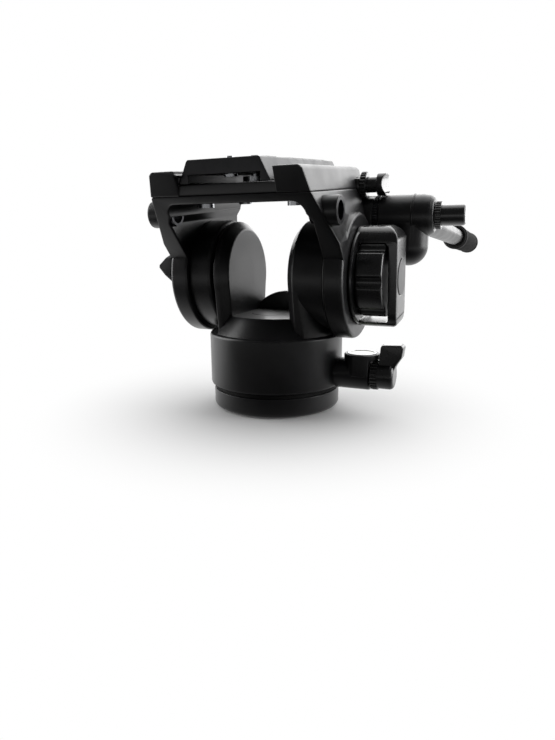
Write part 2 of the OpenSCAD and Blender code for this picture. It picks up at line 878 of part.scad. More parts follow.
module plate_section() {
    foot = plate_w / 2;
    top = plate_top_w / 2;
    half = channel_w / 2;
    polygon([[-foot, plate_foot], [-half, plate_foot], [-half, plate_foot + channel_h],
        [half, plate_foot + channel_h], [half, plate_foot], [foot, plate_foot], [foot - 0.3, plate_foot + 0.8],
        [top + 0.3, plate_top - 0.8], [top - 0.5, plate_top], [-top + 0.5, plate_top],
        [-top - 0.3, plate_top - 0.8], [-foot + 0.3, plate_foot + 0.8]]);
}

module pad_outlines() {
    w = plate_top_w / 2 - pad_margin;
    gap = camera_head_r;
    round_rect([-w, pin_y + pin_r + pad_margin], [w, camera_y - gap], 2.5);
    round_rect([-w, camera_y + gap], [w, plate_front + plate_len - pad_margin], 2.5);
}

module camera_plate() {
    color("#2b2b2e") on_plate() difference() {
        front_solid(plate_front, plate_front + plate_len) plate_section();
        translate([0, 0, plate_top - pad_t + pad_proud]) linear_extrude(pad_t + 1) pad_outlines();
        translate([0, camera_y, 0]) z_rod(camera_screw_d / 2 + run_fit, 0, plate_top + 1);
        translate([0, pin_y, 0]) z_rod(pin_r + run_fit, 0, plate_top + 1);
    }
}

module plate_pads() {
    color("#0f0f10") on_plate() translate([0, 0, plate_top - pad_t + pad_proud])
        linear_extrude(pad_t) pad_outlines();
}

module camera_screw() {
    z0 = plate_foot + face_gap;
    thread_z = plate_top + pad_proud + face_gap;
    color("#b9bbc0") on_plate() translate([0, camera_y, 0]) difference() {
        union() {
            z_rod(camera_head_r, z0, z0 + camera_head_h);
            z_rod(camera_neck_r, z0, thread_z + 0.5);
            z_rod(camera_screw_d / 2, thread_z, plate_top + camera_tip);
        }
        box([-camera_head_r - 1, -0.8, z0 - 1], [camera_head_r + 1, 0.8, z0 + 1.2]);
    }
}

module index_pin() {
    z0 = plate_foot + channel_h - face_gap;
    color("#b9bbc0") on_plate() translate([0, pin_y, 0]) {
        z_rod(pin_r, z0 - 1, plate_top + pin_proud);
        z_rod(pin_r + 1.4, z0 - 1.2, z0);
    }
}

// Controls on the tilt axis

module handle_outline() {
    round_rect([flange_x, -handle_bottom], [handle_end, handle_top], handle_round);
    translate([flange_x, -handle_bottom]) square([handle_round, handle_top + handle_bottom]);
    round_rect([flange_x, -handle_bottom], [handle_end, handle_round], handle_foot_round);
}

module tilt_lock_handle() {
    half = handle_depth / 2;
    inner = flange_x + flange_t;
    color("#1b1b1d") tilted() difference() {
        union() {
            x_rod(flange_r, flange_x, inner);
            difference() {
                intersection() {
                    front_solid(-half, half) handle_outline();
                    side_solid(flange_x, handle_end)
                        round_rect([-half, -handle_bottom], [half, handle_top], handle_side_round);
                }
                x_rod(window_r, inner, bar_in - window_round);
                x_cone(window_r, window_r - window_round, bar_in - window_round, bar_in);
                front_solid(-half - 1, half + 1) round_rect([inner, -window_bottom], [bar_in, 1], window_round);
                box([inner, -half - 1, -window_bottom + window_round], [bar_in, half + 1, 0]);
            }
        }
        x_rod(boss_r + run_fit, flange_x - 1, inner + 1);
        x_rod(cap_r + seat_fit, handle_end - cap_t + 0.3, handle_end + 1);
    }
}

module handle_cap() {
    color("#5a5c60") tilted() x_rod(cap_r, handle_end - cap_t + 0.3, handle_end + 0.3);
}

module tilt_drag_dial() {
    x0 = dial_x;
    x1 = dial_x + dial_len;
    color("#262628") tilted() {
        x_rod(dial_shaft_r, hub_bore_end + 0.2, x0 + 1);
        difference() {
            union() {
                x_cone(dial_r - 0.8, dial_r, x0, x0 + 0.8);
                x_rod(dial_r, x0 + 0.8, x1 - 0.8);
                x_cone(dial_r, dial_r - 0.8, x1 - 0.8, x1);
            }
            for (i = [0 : dial_flutes - 1])
                rotate([360 * (i + 0.5) / dial_flutes, 0, 0])
                    translate([0, dial_r + flute_r - flute_depth, 0]) x_rod(flute_r, x0 - 1, x1 + 1);
        }
    }
}

module balance_lever() {
    color("#3c3d40") on_left() rotate([-balance_turn, 0, 0]) difference() {
        union() {
            x_rod(balance_r, balance_x, balance_x + balance_t);
            intersection() {
                front_solid(-balance_reach, 0) polygon([[balance_x, -balance_half], [balance_tip, -0.8],
                    [balance_tip, 0.8], [balance_x, balance_half]]);
                side_solid(balance_x, balance_tip + 1) polygon([[-balance_reach + 3, -balance_half],
                    [-balance_reach, -balance_half + 4], [-balance_reach, balance_half - 4],
                    [-balance_reach + 3, balance_half], [-lever_boss_r, balance_half],
                    [-lever_boss_r, -balance_half]]);
            }
        }
        x_rod(lever_boss_r + run_fit, balance_x - 1, balance_tip + 2);
        x_rod(balance_head_r + pass_gap, balance_x + balance_t, balance_tip + 2);
    }
}

module balance_screw() {
    color("#8d8f94") on_left() difference() {
        union() {
            x_rod(balance_head_r, lever_boss_end, lever_boss_end + 2.4);
            x_rod(balance_screw_r, arm_out + 0.3, lever_boss_end + 1);
        }
        translate([lever_boss_end + 1.2, 0, 0]) rotate([0, 90, 0])
            cylinder(h = 3, r = balance_screw_r, $fn = 6);
    }
}

// Pan bar and its clamp

module arm_rosette() {
    color("#8d8f94") at_rosette()
        x_ring(rosette_r - 0.3, clamp_screw_r + seat_fit, rosette_x, rosette_x + rosette_t);
}

module bar_clamp() {
    color("#1c1c1e") along_bar() difference() {
        union() {
            x_rod(rosette_r, clamp_x, clamp_end - 6.5);
            x_cone(rosette_r, rosette_r - 0.7, clamp_end - 6.5, clamp_end - 2.5);
            x_cone(rosette_r - 0.7, rosette_r - 2.4, clamp_end - 2.5, clamp_end);
            x_rod(rosette_r + 0.5, clamp_rib, clamp_rib + 1.4);
            translate([bar_x, 0, 0]) {
                y_rod(socket_r, 0, socket_start + socket_len);
                z_rod(lobe_r, -lobe_drop, 0);
                translate([0, 0, -lobe_drop]) sphere(lobe_r);
            }
        }
        x_rod(clamp_screw_r + run_fit, clamp_x - 1, clamp_end + 3);
        x_rod(grip_collar_r + pass_gap, clamp_end, clamp_end + 5);
        translate([bar_x, 0, 0]) y_rod(bar_r + seat_fit, socket_start, socket_start + socket_len + 1);
    }
}

module bar_clamp_screw() {
    color("#a9abb0") at_rosette() x_rod(clamp_screw_r, deck_foot + 1, grip_knob_x + grip_collar_len + 6);
}

module bar_clamp_knob() {
    x0 = grip_knob_x;
    x1 = grip_knob_x + grip_collar_len + grip_knob_len;
    color("#1a1a1c") at_rosette() difference() {
        union() {
            x_rod(grip_collar_r, x0, x0 + grip_collar_len);
            x_rod(grip_knob_r, x0, x1 - 1);
            x_cone(grip_knob_r, grip_knob_r - 1, x1 - 1, x1);
        }
        x_rod(clamp_screw_r + seat_fit, x0 - 1, x0 + grip_collar_len + 6 + seat_fit);
    }
}

module pan_bar() {
    color("#2a2a2c") on_bar() difference() {
        y_rod(bar_r, socket_start, bar_end);
        y_rod(bar_r - bar_wall, socket_start + 2, bar_end + 1);
    }
}

module bar_grip() {
    grip_end = grip_start + grip_len;
    color("#121213") on_bar() difference() {
        union() {
            y_rod(grip_r - 1, grip_start, grip_end);
            y_rod(grip_r, grip_start + 2, grip_start + 8);
            y_rod(grip_r, grip_end - 8, grip_end - 2);
        }
        y_rod(bar_r + seat_fit, grip_start - 1, grip_end + 1);
    }
}

module grip_end_cap() {
    grip_end = grip_start + grip_len;
    color("#1a1a1c") on_bar() {
        y_rod(bar_r - bar_wall - seat_fit, bar_end - 6, grip_end);
        y_rod(grip_r - 1, grip_end, grip_end + grip_cap_len);
    }
}

base_plate();
thread_insert();
base_screws();
pan_spindle();
spindle_nut();
thrust_washer();
pan_damper_cup();
pan_seal();
pan_fork();
pan_bushing();
pan_damper_rotor();
spindle_cover();
level_cup();
level_fluid();
level_vial();
pan_lock_screw();
pan_lock_knob();
pan_brake_shoe();
left_stub_axle();
right_stub_axle();
tilt_damper_cup();
tilt_damper_rotor();
spring_arbor();
counterbalance_drum();
counterbalance_spring();
cradle();
tilt_bushings();
accessory_inserts();
deck();
deck_screws();
clamp_collar();
clamp_lever();
clamp_jaw();
release_button();
camera_plate();
plate_pads();
camera_screw();
index_pin();
tilt_lock_handle();
handle_cap();
tilt_drag_dial();
balance_lever();
balance_screw();
arm_rosette();
bar_clamp();
bar_clamp_screw();
bar_clamp_knob();
pan_bar();
bar_grip();
grip_end_cap();
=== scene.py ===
import json
import math

import bmesh
import bpy
from mathutils import Matrix, Vector


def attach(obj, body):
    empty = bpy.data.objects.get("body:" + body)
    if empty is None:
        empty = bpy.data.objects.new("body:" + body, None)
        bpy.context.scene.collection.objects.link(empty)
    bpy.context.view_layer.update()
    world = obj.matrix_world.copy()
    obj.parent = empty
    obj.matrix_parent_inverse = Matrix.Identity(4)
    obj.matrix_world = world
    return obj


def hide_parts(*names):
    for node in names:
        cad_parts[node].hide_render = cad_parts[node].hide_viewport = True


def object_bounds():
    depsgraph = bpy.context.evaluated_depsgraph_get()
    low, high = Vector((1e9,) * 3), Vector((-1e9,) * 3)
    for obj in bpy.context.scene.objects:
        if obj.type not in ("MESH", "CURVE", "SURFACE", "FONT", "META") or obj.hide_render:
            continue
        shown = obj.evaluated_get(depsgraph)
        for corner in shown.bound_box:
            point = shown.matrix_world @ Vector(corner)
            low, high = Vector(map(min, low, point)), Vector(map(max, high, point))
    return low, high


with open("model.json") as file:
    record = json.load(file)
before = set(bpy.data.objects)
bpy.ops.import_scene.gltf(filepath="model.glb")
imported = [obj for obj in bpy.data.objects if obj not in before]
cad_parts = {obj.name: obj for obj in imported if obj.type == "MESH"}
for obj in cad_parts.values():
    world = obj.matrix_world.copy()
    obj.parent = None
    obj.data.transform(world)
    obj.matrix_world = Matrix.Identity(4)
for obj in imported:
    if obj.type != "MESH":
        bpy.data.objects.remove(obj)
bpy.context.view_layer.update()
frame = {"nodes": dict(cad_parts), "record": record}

cadNodes = frame["nodes"]
scene = bpy.context.scene
print("stage: frame loaded with", len(cadNodes), "nodes")

# camera at the photo's viewing angle, for a 555 x 740 picture
cameraSet = {
    "place": (0.13612, -0.31951, 0.09995), "azimuth": 22.99, "pitch": 13.018, "roll": -0.46,
    "lens": 27.984, "sensor": 36, "near": 0.01,
}


def makeCamera():
    turn, dip, roll = (math.radians(cameraSet[k]) for k in ("azimuth", "pitch", "roll"))
    right = Vector((math.cos(turn), math.sin(turn), 0))
    ahead = Vector((-math.sin(turn) * math.cos(dip), math.cos(turn) * math.cos(dip), -math.sin(dip)))
    up = right.cross(ahead)
    rolledRight = right * math.cos(roll) + up * math.sin(roll)
    rolledUp = up * math.cos(roll) - right * math.sin(roll)
    data = bpy.data.cameras.new("headCamera")
    data.sensor_width = cameraSet["sensor"]
    data.lens = cameraSet["lens"]
    data.clip_start = cameraSet["near"]
    data.dof.use_dof = False
    obj = bpy.data.objects.new("headCamera", data)
    columns = Matrix((rolledRight, rolledUp, -ahead)).transposed().to_4x4()
    obj.matrix_world = Matrix.Translation(cameraSet["place"]) @ columns
    scene.collection.objects.link(obj)
    scene.camera = obj


makeCamera()
print("stage: camera placed")


# a node's input: a socket is linked to it, anything else is its value
def feed(tree, node, slot, value):
    if isinstance(value, bpy.types.NodeSocket):
        tree.links.new(value, node.inputs[slot])
    else:
        node.inputs[slot].default_value = value


def addNode(tree, kind, feeds=None, **settings):
    node = tree.nodes.new(kind)
    for key, value in settings.items():
        setattr(node, key, value)
    for slot, value in (feeds or {}).items():
        feed(tree, node, slot, value)
    return node


def addMath(tree, operation, *values):
    return addNode(tree, "ShaderNodeMath", dict(enumerate(values)), operation=operation).outputs["Value"]


# painted and moulded finishes: dark and light tone, patches and grain per metre, depth and strength of the grain,
# roughness band, share of metal, wear on edges, mirror shine and clear coat
finishSet = {
    "body_black": {
        "dark": (0.009, 0.009, 0.01), "light": (0.018, 0.018, 0.02), "blotch": 60, "grain": 3400,
        "depth": 0.00008, "bump": 0.25, "rough": (0.31, 0.42), "metal": 0.0, "wear": 0.06, "shine": 0.55,
        "coat": 0.2},
    "control_black": {
        "dark": (0.008, 0.008, 0.009), "light": (0.015, 0.015, 0.016), "blotch": 90, "grain": 4200,
        "depth": 0.00004, "bump": 0.16, "rough": (0.2, 0.3), "metal": 0.0, "wear": 0.05, "shine": 0.95,
        "coat": 0.4},
    "plate_black": {
        "dark": (0.02, 0.02, 0.022), "light": (0.036, 0.036, 0.039), "blotch": 120, "grain": 5200,
        "depth": 0.00005, "bump": 0.2, "rough": (0.3, 0.42), "metal": 0.4, "wear": 0.16, "shine": 0.6,
        "coat": 0.0},
    "bar_black": {
        "dark": (0.012, 0.012, 0.013), "light": (0.022, 0.022, 0.024), "blotch": 70, "grain": 4800,
        "depth": 0.00005, "bump": 0.15, "rough": (0.28, 0.38), "metal": 0.5, "wear": 0.1, "shine": 0.6,
        "coat": 0.0},
    "rubber_black": {
        "dark": (0.01, 0.01, 0.01), "light": (0.02, 0.02, 0.02), "blotch": 140, "grain": 3000,
        "depth": 0.00015, "bump": 0.45, "rough": (0.68, 0.85), "metal": 0.0, "wear": 0.0, "shine": 0.35,
        "coat": 0.0},
    "cap_grey": {
        "dark": (0.055, 0.055, 0.058), "light": (0.085, 0.085, 0.088), "blotch": 100, "grain": 4200,
        "depth": 0.00006, "bump": 0.2, "rough": (0.34, 0.46), "metal": 0.0, "wear": 0.05, "shine": 0.6,
        "coat": 0.1},
    "white_plastic": {
        "dark": (0.66, 0.64, 0.59), "light": (0.76, 0.74, 0.7), "blotch": 90, "grain": 2500,
        "depth": 0.00005, "bump": 0.15, "rough": (0.4, 0.5), "metal": 0.0, "wear": 0.0, "shine": 0.5,
        "coat": 0.0},
    "level_ring": {
        "dark": (0.62, 0.62, 0.63), "light": (0.76, 0.76, 0.77), "blotch": 150, "grain": 3800,
        "depth": 0.00004, "bump": 0.15, "rough": (0.28, 0.4), "metal": 0.85, "wear": 0.0, "shine": 0.5,
        "coat": 0.0},
}
paintSet = {"blotchDetail": 5.0, "grainDetail": 3.0, "coatRough": 0.28,
            "wearMark": "edgeWear", "wearPatch": 340, "wearDetail": 4.0, "wearTone": (0.3, 0.3, 0.31, 1)}

# turned metals: tones, roughness band and fine lines per metre
turnedSet = {
    "steel": {"dark": (0.4, 0.41, 0.43), "light": (0.6, 0.61, 0.63), "rough": (0.2, 0.36), "line": 2400},
    "dark_steel": {"dark": (0.045, 0.045, 0.048), "light": (0.075, 0.075, 0.08), "rough": (0.28, 0.42),
                   "line": 2400},
    "damper_grey": {"dark": (0.34, 0.35, 0.37), "light": (0.47, 0.48, 0.5), "rough": (0.3, 0.46), "line": 1800},
    "bronze": {"dark": (0.4, 0.25, 0.1), "light": (0.58, 0.4, 0.19), "rough": (0.26, 0.4), "line": 1500},
}
latheSet = {"lineDetail": 2.0, "lineStretch": (1.0, 0.08, 0.08), "lineBump": 0.12, "lineDepth": 0.00004,
            "tarnish": 220, "tarnishDetail": 5.0}

# the level's lens and the fluid under it: tones, share of light let through and roughness band
clearSet = {
    "level_glass": {"dark": (0.68, 0.74, 0.58), "light": (0.76, 0.81, 0.66), "pass": 0.2, "rough": (0.04, 0.08)},
    "level_green": {"dark": (0.62, 0.7, 0.42), "light": (0.7, 0.77, 0.5), "pass": 0.0, "rough": (0.08, 0.14)},
}
lensSet = {"cloud": 130, "cloudDetail": 3.0, "bend": 1.47}

# the part of a noise's range that is spread over a band of values or of tones
spreadSet = {"bandFrom": 0.3, "bandTo": 0.7, "toneFrom": 0.35, "toneTo": 0.68}


def startMaterial(name):
    material = bpy.data.materials.new(name)
    material.use_nodes = True
    tree = material.node_tree
    tree.nodes.clear()
    shader = addNode(tree, "ShaderNodeBsdfPrincipled")
    addNode(tree, "ShaderNodeOutputMaterial", {"Surface": shader.outputs["BSDF"]})
    coord = addNode(tree, "ShaderNodeTexCoord")
    return material, tree, shader, coord.outputs["Object"]


def addNoise(tree, coord, scale, detail, stretch=None):
    if stretch:
        coord = addNode(tree, "ShaderNodeMapping", {"Vector": coord, "Scale": stretch}).outputs["Vector"]
    noise = addNode(tree, "ShaderNodeTexNoise", {"Vector": coord, "Scale": scale, "Detail": detail})
    return noise.outputs["Fac"]


def addBand(tree, value, low, high):
    band = addNode(tree, "ShaderNodeMapRange", {
        "Value": value, "From Min": spreadSet["bandFrom"], "From Max": spreadSet["bandTo"],
        "To Min": low, "To Max": high})
    return band.outputs["Result"]


def addTone(tree, value, dark, light):
    ramp = addNode(tree, "ShaderNodeValToRGB", {"Fac": value})
    first, last = ramp.color_ramp.elements
    first.position, first.color = spreadSet["toneFrom"], (*dark, 1)
    last.position, last.color = spreadSet["toneTo"], (*light, 1)
    return ramp.outputs["Color"]


def addBump(tree, height, strength, depth):
    bump = addNode(tree, "ShaderNodeBump", {"Height": height, "Strength": strength, "Distance": depth})
    return bump.outputs["Normal"]


def fillShader(tree, shader, values):
    for slot, value in values.items():
        feed(tree, shader, slot, value)


# lighter tone in patches along the edges that softEdges marks
def addWear(tree, coord, tone, amount):
    mark = addNode(tree, "ShaderNodeAttribute", attribute_name=paintSet["wearMark"])
    patch = addBand(tree, addNoise(tree, coord, paintSet["wearPatch"], paintSet["wearDetail"]), 0.0, amount)
    share = addMath(tree, "MULTIPLY", mark.outputs["Fac"], patch)
    worn = addNode(tree, "ShaderNodeMix", {"Factor": share, "A": tone, "B": paintSet["wearTone"]}, data_type="RGBA")
    return worn.outputs["Result"]


# paint, plastic and rubber: wandering tone, fine grain, worn edges
def coatMaterial(name, look):
    material, tree, shader, coord = startMaterial(name)
    blotch = addNoise(tree, coord, look["blotch"], paintSet["blotchDetail"])
    grain = addNoise(tree, coord, look["grain"], paintSet["grainDetail"])
    tone = addTone(tree, blotch, look["dark"], look["light"])
    if look["wear"]:
        tone = addWear(tree, coord, tone, look["wear"])
    fillShader(tree, shader, {
        "Base Color": tone, "Roughness": addBand(tree, blotch, *look["rough"]), "Metallic": look["metal"],
        "Specular IOR Level": look["shine"], "Coat Weight": look["coat"], "Coat Roughness": paintSet["coatRough"],
        "Normal": addBump(tree, grain, look["bump"], look["depth"])})
    return material


# turned metal: fine lines across its axis and a little tarnish
def turnedMaterial(name, look):
    material, tree, shader, coord = startMaterial(name)
    lines = addNoise(tree, coord, look["line"], latheSet["lineDetail"], latheSet["lineStretch"])
    tarnish = addNoise(tree, coord, latheSet["tarnish"], latheSet["tarnishDetail"])
    fillShader(tree, shader, {
        "Base Color": addTone(tree, tarnish, look["dark"], look["light"]), "Metallic": 1.0,
        "Roughness": addBand(tree, lines, *look["rough"]),
        "Normal": addBump(tree, lines, latheSet["lineBump"], latheSet["lineDepth"])})
    return material


def clearMaterial(name, look):
    material, tree, shader, coord = startMaterial(name)
    cloud = addNoise(tree, coord, lensSet["cloud"], lensSet["cloudDetail"])
    fillShader(tree, shader, {
        "Base Color": addTone(tree, cloud, look["dark"], look["light"]),
        "Roughness": addBand(tree, cloud, *look["rough"]),
        "Transmission Weight": look["pass"], "IOR": lensSet["bend"]})
    return material


slotMaterial = {n: coatMaterial(n, look) for n, look in finishSet.items()}
slotMaterial.update({n: turnedMaterial(n, look) for n, look in turnedSet.items()})
slotMaterial.update({n: clearMaterial(n, look) for n, look in clearSet.items()})
nodeSlot = {p["node"]: p["material_slot"] for p in frame["record"]["subparts"]}
for nodeName, obj in cadNodes.items():
    obj.data.materials.clear()
    obj.data.materials.append(slotMaterial[nodeSlot[nodeName]])
print("stage: finishes on", len(cadNodes), "nodes")

nodeBody = {n: b for b, members in frame["record"]["behaviour"]["bodies"].items() for n in members}


def addPiece(name, mesh, body, slotName):
    mesh.materials.clear()
    mesh.materials.append(slotMaterial[slotName])
    obj = bpy.data.objects.new(name, mesh)
    scene.collection.objects.link(obj)
    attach(obj, body)
    return obj


# smooth faces that meet in hard edges where they turn by more than the crease
def shadeFaces(bm, crease):
    for face in bm.faces:
        face.smooth = True
    for edge in bm.edges:
        edge.smooth = not (edge.is_manifold and edge.calc_face_angle() > math.radians(crease))


# runs a modifier that is set up on a bare object and keeps its result as a plain mesh
def keepResult(holder, modifier, name):
    graph = bpy.context.evaluated_depsgraph_get()
    mesh = bpy.data.meshes.new_from_object(holder.evaluated_get(graph))
    holder.modifiers.remove(modifier)
    old = holder.data
    bpy.data.objects.remove(holder)
    bpy.data.meshes.remove(old)
    mesh.name = name
    return mesh


# cast and moulded pieces get the small round edges of the real ones: width of each
softSet = {
    "base_plate": 0.0004, "pan_fork": 0.0007, "counterbalance_drum": 0.001, "cradle": 0.0009, "deck": 0.0008,
    "camera_plate": 0.0004, "tilt_lock_handle": 0.0009, "tilt_drag_dial": 0.0007, "bar_clamp": 0.0005,
    "clamp_lever": 0.0005, "pan_lock_knob": 0.0009, "bar_clamp_knob": 0.0005, "balance_lever": 0.0004,
    "clamp_collar": 0.0003, "plate_pads": 0.0003, "handle_cap": 0.0002, "grip_end_cap": 0.0012,
    "release_button": 0.0003, "level_cup": 0.0002, "pan_seal": 0.0005,
}
edgeSet = {"merge": 2e-6, "flat": 0.6, "sharp": 33, "steps": 2, "crease": 38, "flatWeight": 100}


# large flat faces keep their own normals, so only the round edges shade round
def evenNormals(mesh):
    name = mesh.name
    holder = bpy.data.objects.new(name + "Holder", mesh)
    scene.collection.objects.link(holder)
    modifier = holder.modifiers.new("even", "WEIGHTED_NORMAL")
    modifier.keep_sharp = True
    modifier.weight = edgeSet["flatWeight"]
    return keepResult(holder, modifier, name)


def softEdges(nodeName, width):
    bm = bmesh.new()
    bm.from_mesh(cadNodes[nodeName].data)
    bmesh.ops.remove_doubles(bm, verts=bm.verts, dist=edgeSet["merge"])
    bmesh.ops.dissolve_degenerate(bm, edges=bm.edges, dist=edgeSet["merge"])
    bmesh.ops.dissolve_limit(bm, angle_limit=math.radians(edgeSet["flat"]), verts=bm.verts, edges=bm.edges)
    wear = bm.faces.layers.float.new(paintSet["wearMark"])
    sharp = math.radians(edgeSet["sharp"])
    edges = [e for e in bm.edges if e.is_manifold and e.is_convex and e.calc_face_angle() > sharp]
    made = bmesh.ops.bevel(bm, geom=edges, offset=width, offset_type="OFFSET", segments=edgeSet["steps"],
                           profile=0.5, affect="EDGES", clamp_overlap=False, loop_slide=True)
    for face in made["faces"]:
        face[wear] = 1.0
    bmesh.ops.triangulate(bm, faces=[f for f in bm.faces if len(f.verts) > 4])
    shadeFaces(bm, edgeSet["crease"])
    mesh = bpy.data.meshes.new(nodeName + "Cast")
    bm.to_mesh(mesh)
    bm.free()
    piece = addPiece(nodeName + "Cast", evenNormals(mesh), nodeBody[nodeName], nodeSlot[nodeName])
    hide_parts(nodeName)


for nodeName, width in softSet.items():
    softEdges(nodeName, width)
print("stage: soft edges on", len(softSet), "castings and mouldings")

# where the tilting group stands, and where on it the pan bar is clamped
tiltSet = {"axisHeight": 0.0781, "tilt": 5.0, "barDrop": 3.0, "barSide": 0.0725, "barBack": 0.0339, "barUp": 0.0304}


def tiltPlace(x, back, up):
    t = math.radians(tiltSet["tilt"])
    z = tiltSet["axisHeight"] + back * math.sin(t) + up * math.cos(t)
    return Vector((x, back * math.cos(t) - up * math.sin(t), z))


def clampPlace(x):
    return tiltPlace(x, tiltSet["barBack"], tiltSet["barUp"])


def barPlace(along):
    drop = math.radians(tiltSet["barDrop"])
    return clampPlace(tiltSet["barSide"]) + Vector((0, math.cos(drop), -math.sin(drop))) * along


# a geometry tree takes a count, sizes, places and a finish, and gives a mesh
def startTree(name, sizes, places):
    tree = bpy.data.node_groups.new(name, "GeometryNodeTree")
    tree.interface.new_socket("Geometry", in_out="OUTPUT", socket_type="NodeSocketGeometry")
    kinds = [("Count", "Int")] + [(s, "Float") for s in sizes] + [(p, "Vector") for p in places]
    for label, kind in kinds + [("Finish", "Material")]:
        tree.interface.new_socket(label, in_out="INPUT", socket_type="NodeSocket" + kind)
    return tree, addNode(tree, "NodeGroupInput").outputs


def endTree(tree, given, copies):
    real = addNode(tree, "GeometryNodeRealizeInstances", {"Geometry": copies})
    paint = addNode(tree, "GeometryNodeSetMaterial", {
        "Geometry": real.outputs["Geometry"], "Material": given["Finish"]})
    addNode(tree, "NodeGroupOutput", {"Geometry": paint.outputs["Geometry"]})
    return tree


# how finely the made ribs, rings and rods are cut, and where their faces stop shading round
cutSet = {"ribSides": 8, "ringSteps": 48, "ringSides": 8, "rodSides": 10, "merge": 1e-6, "crease": 50}


# ring of ribs round an axis along X
def ribTree():
    tree, given = startTree("ribRing", ("Radius", "Rib Radius", "Rib Length"), ("Place",))
    points = addNode(tree, "GeometryNodePoints", {"Count": given["Count"]})
    index = addNode(tree, "GeometryNodeInputIndex")
    share = addMath(tree, "DIVIDE", index.outputs["Index"], given["Count"])
    angle = addMath(tree, "MULTIPLY", share, 2 * math.pi)
    across = addMath(tree, "MULTIPLY", addMath(tree, "COSINE", angle), given["Radius"])
    rise = addMath(tree, "MULTIPLY", addMath(tree, "SINE", angle), given["Radius"])
    spread = addNode(tree, "ShaderNodeCombineXYZ", {"Y": across, "Z": rise})
    move = addNode(tree, "GeometryNodeSetPosition", {
        "Geometry": points.outputs["Points"], "Position": spread.outputs["Vector"]})
    rib = addNode(tree, "GeometryNodeMeshCylinder", {
        "Vertices": cutSet["ribSides"], "Radius": given["Rib Radius"], "Depth": given["Rib Length"]})
    lay = addNode(tree, "GeometryNodeTransform", {
        "Geometry": rib.outputs["Mesh"], "Rotation": (0, math.pi / 2, 0)})
    spin = addNode(tree, "ShaderNodeCombineXYZ", {"X": angle})
    copies = addNode(tree, "GeometryNodeInstanceOnPoints", {
        "Points": move.outputs["Geometry"], "Instance": lay.outputs["Geometry"],
        "Rotation": spin.outputs["Vector"]})
    put = addNode(tree, "GeometryNodeTransform", {
        "Geometry": copies.outputs["Instances"], "Translation": given["Place"]})
    return endTree(tree, given, put.outputs["Geometry"])


# one ring round Y, or one rod along X, for a row of them
def addRing(tree, given):
    path = addNode(tree, "GeometryNodeCurvePrimitiveCircle", {
        "Resolution": cutSet["ringSteps"], "Radius": given["Span"]})
    section = addNode(tree, "GeometryNodeCurvePrimitiveCircle", {
        "Resolution": cutSet["ringSides"], "Radius": given["Rib Radius"]})
    sweep = addNode(tree, "GeometryNodeCurveToMesh", {
        "Curve": path.outputs["Curve"], "Profile Curve": section.outputs["Curve"]})
    lay = addNode(tree, "GeometryNodeTransform", {
        "Geometry": sweep.outputs["Mesh"], "Rotation": (math.pi / 2, 0, 0)})
    return lay.outputs["Geometry"]


def addRod(tree, given):
    rod = addNode(tree, "GeometryNodeMeshCylinder", {
        "Vertices": cutSet["rodSides"], "Radius": given["Rib Radius"], "Depth": given["Span"]})
    lay = addNode(tree, "GeometryNodeTransform", {
        "Geometry": rod.outputs["Mesh"], "Rotation": (0, math.pi / 2, 0)})
    return lay.outputs["Geometry"]


# row along Y, leant about X and set in place
def rowTree(name, addShape):
    tree, given = startTree(name, ("Pitch", "Span", "Rib Radius"), ("Lean", "Place"))
    step = addNode(tree, "ShaderNodeCombineXYZ", {"Y": given["Pitch"]})
    line = addNode(tree, "GeometryNodeMeshLine", {"Count": given["Count"], "Offset": step.outputs["Vector"]})
    copies = addNode(tree, "GeometryNodeInstanceOnPoints", {
        "Points": line.outputs["Mesh"], "Instance": addShape(tree, given)})
    put = addNode(tree, "GeometryNodeTransform", {
        "Geometry": copies.outputs["Instances"], "Rotation": given["Lean"], "Translation": given["Place"]})
    return endTree(tree, given, put.outputs["Geometry"])


# merges, turns every face outwards, shades and writes the mesh
def closeShell(bm, mesh, crease):
    bmesh.ops.remove_doubles(bm, verts=bm.verts, dist=cutSet["merge"])
    bmesh.ops.recalc_face_normals(bm, faces=bm.faces)
    shadeFaces(bm, crease)
    bm.to_mesh(mesh)
    bm.free()


def bakeTree(name, tree, values):
    holder = bpy.data.objects.new(name + "Holder", bpy.data.meshes.new(name + "Holder"))
    scene.collection.objects.link(holder)
    modifier = holder.modifiers.new("make", "NODES")
    modifier.node_group = tree
    for item in tree.interface.items_tree:
        if item.in_out == "INPUT" and item.name in values:
            modifier[item.identifier] = values[item.name]
    mesh = keepResult(holder, modifier, name)
    bm = bmesh.new()
    bm.from_mesh(mesh)
    closeShell(bm, mesh, cutSet["crease"])
    return mesh


# knurls and teeth of the turning pieces
ribSet = {
    "collarKnurl": {"count": 22, "radius": 0.0067, "rib": 0.0007, "length": 0.003,
                    "place": tiltPlace(0.0467, 0.0288, 0.0487), "body": "cradle", "slot": "control_black"},
    "rosetteTeeth": {"count": 48, "radius": 0.0116, "rib": 0.00045, "length": 0.0024,
                     "place": clampPlace(0.0539), "body": "cradle", "slot": "dark_steel"},
    "knobKnurl": {"count": 30, "radius": 0.0072, "rib": 0.0006, "length": 0.003,
                  "place": clampPlace(0.0888), "body": "bar_knob", "slot": "control_black"},
    "lockSerration": {"count": 24, "radius": 0.0077, "rib": 0.0008, "length": 0.0036,
                      "place": Vector((0.0623, 0, 0.022)), "body": "pan_lock", "slot": "control_black"},
}
ribRings = ribTree()
for name, ring in ribSet.items():
    mesh = bakeTree(name, ribRings, {
        "Count": ring["count"], "Radius": ring["radius"], "Rib Radius": ring["rib"], "Rib Length": ring["length"],
        "Place": ring["place"], "Finish": slotMaterial[ring["slot"]]})
    addPiece(name, mesh, ring["body"], ring["slot"])
print("stage: knurls and teeth made")

